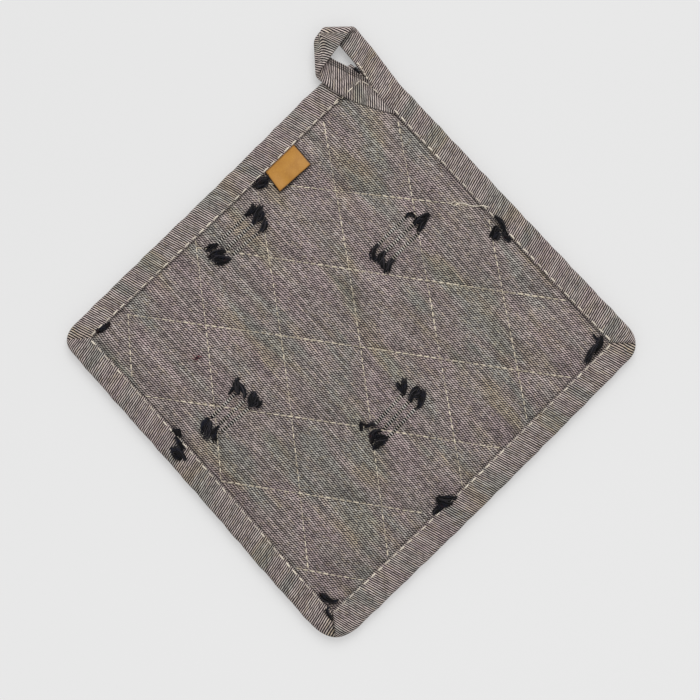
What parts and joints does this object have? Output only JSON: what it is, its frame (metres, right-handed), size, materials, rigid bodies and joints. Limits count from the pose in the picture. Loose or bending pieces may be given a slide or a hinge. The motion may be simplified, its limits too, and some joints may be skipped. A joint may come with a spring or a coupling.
{
  "type": "quilted pot holder",
  "caption": "Square quilted cloth pot holder with a bound edge, a folded hanging loop at one corner, a plain tan tab and clipped black yarn tufts.",
  "frame": {"origin": "bottom centre of the whole object's box, on the surface it lies on", "axes": "+Z out of the quilted front, +Y towards the corner with the hanging loop, +X to the right seen from the front"},
  "size_m": [0.2698, 0.2897, 0.0097],
  "materials": {
    "quilted_cloth": "matte woven cotton, cream and charcoal yarns",
    "binding_cloth": "matte woven cotton strip, cut on the cross",
    "tan_tab": "smooth tan leather",
    "black_yarn": "soft clipped cotton yarn"
  },
  "bodies": {
    "root": {"pad": "quilted_cloth", "binding": "binding_cloth", "hanging_loop": "binding_cloth", "label": "tan_tab", "tuft_upper_left_a": "black_yarn", "tuft_upper_left_b": "black_yarn", "tuft_upper_right_a": "black_yarn", "tuft_upper_right_b": "black_yarn", "tuft_lower_left_a": "black_yarn", "tuft_lower_left_b": "black_yarn", "tuft_lower_right_a": "black_yarn", "tuft_lower_right_b": "black_yarn", "tuft_by_label": "black_yarn", "tuft_by_top_right_seam": "black_yarn", "tuft_by_right_corner": "black_yarn", "tuft_by_left_corner": "black_yarn", "tuft_by_lower_left_seam": "black_yarn", "tuft_on_binding": "black_yarn", "tuft_by_lower_right_seam": "black_yarn", "tuft_by_bottom_corner": "black_yarn"}
  },
  "joints": []
}
